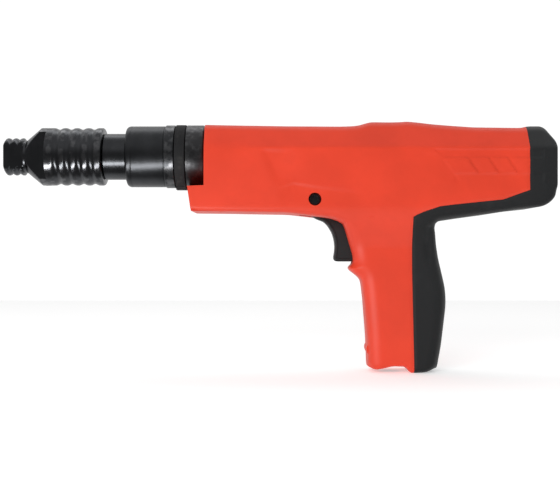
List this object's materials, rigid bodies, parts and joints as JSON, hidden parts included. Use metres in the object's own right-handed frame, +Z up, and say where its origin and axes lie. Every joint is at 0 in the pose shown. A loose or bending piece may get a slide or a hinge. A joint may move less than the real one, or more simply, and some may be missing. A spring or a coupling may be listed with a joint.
{
  "type": "powder-actuated nail gun",
  "caption": "Strip-fed pistol-grip powder-actuated fastening tool with a sliding barrel, ribbed nosepiece, red moulded shells and a black rear guard.",
  "frame": {"origin": "middle of the bounding box at its base, under the grip", "axes": "-X towards the muzzle along the barrel, +Y to the tool's right side, +Z up, against the grip"},
  "size_m": [0.338, 0.047, 0.1541],
  "materials": {
    "red_plastic": "fine-textured red moulding, satin",
    "black_plastic": "fine-textured black moulding",
    "black_rubber": "matt black rubber",
    "blackened_steel": "blackened and oiled steel",
    "satin_steel": "ground steel with light scuffs",
    "spring_steel": "drawn wire"
  },
  "bodies": {
    "frame": {"housing_left": "red_plastic", "housing_right": "red_plastic", "rear_guard": "black_plastic", "trigger_screw": "blackened_steel", "trigger_nut": "blackened_steel", "housing_screw_1": "blackened_steel", "housing_screw_2": "blackened_steel", "housing_screw_3": "blackened_steel", "housing_screw_4": "blackened_steel", "guard_screw_1": "blackened_steel", "guard_screw_2": "blackened_steel", "receiver": "satin_steel", "front_sleeve": "blackened_steel", "pawl_ring": "black_rubber", "piston_pawl": "blackened_steel", "breech_block": "satin_steel", "breech_pin": "blackened_steel", "sear_pin": "blackened_steel", "spring_plug": "blackened_steel", "recoil_buffer": "black_rubber", "strip_guide": "satin_steel", "firing_pin_spring": "spring_steel", "trigger_spring": "spring_steel"},
    "barrel": {"nosepiece": "blackened_steel", "nose_detent": "blackened_steel", "barrel_tube": "blackened_steel", "piston_stop": "black_rubber"},
    "piston": {"piston": "blackened_steel", "piston_ring_1": "blackened_steel", "piston_ring_2": "blackened_steel"},
    "striker": {"firing_pin": "satin_steel"},
    "trigger": {"trigger": "black_plastic"},
    "trigger_bar": {"trigger_bar": "satin_steel"},
    "sear": {"sear": "satin_steel"},
    "feed_pawl": {"feed_pawl": "blackened_steel"}
  },
  "joints": [
    {"name": "barrel_slide", "type": "slide", "parent": "frame", "child": "barrel", "axis": [-1, 0, 0], "range_m": [-0.0135, 0.075]},
    {"name": "piston_slide", "type": "slide", "parent": "barrel", "child": "piston", "axis": [-1, 0, 0], "range_m": [0, 0.108]},
    {"name": "firing_pin_slide", "type": "slide", "parent": "frame", "child": "striker", "axis": [-1, 0, 0], "range_m": [0, 0.005], "deforming": ["firing_pin_spring"]},
    {"name": "trigger_pull", "type": "hinge", "parent": "frame", "child": "trigger", "pos_m": [0.0225, 0, 0.1058], "axis": [0, -1, 0], "range_deg": [0, 10], "stiffness_Nm_per_rad": 0.5, "springref_deg": -17.19, "deforming": ["trigger_spring"]},
    {"name": "trigger_bar_slide", "type": "slide", "parent": "frame", "child": "trigger_bar", "axis": [-1, 0, 0], "range_m": [0, 0.0012]},
    {"name": "sear_turn", "type": "hinge", "parent": "frame", "child": "sear", "pos_m": [0.121, 0, 0.1045], "axis": [0, -1, 0], "range_deg": [0, 9]},
    {"name": "feed_pawl_slide", "type": "slide", "parent": "frame", "child": "feed_pawl", "axis": [0, 0, 1], "range_m": [-0.0015, 0.008]}
  ],
  "couplings": [
    {"joint": "trigger_bar_slide", "follows": "trigger_pull", "m_per_rad": 0.0047},
    {"joint": "sear_turn", "follows": "trigger_pull", "ratio": 0.78},
    {"joint": "feed_pawl_slide", "follows": "barrel_slide", "ratio": 0.1}
  ]
}
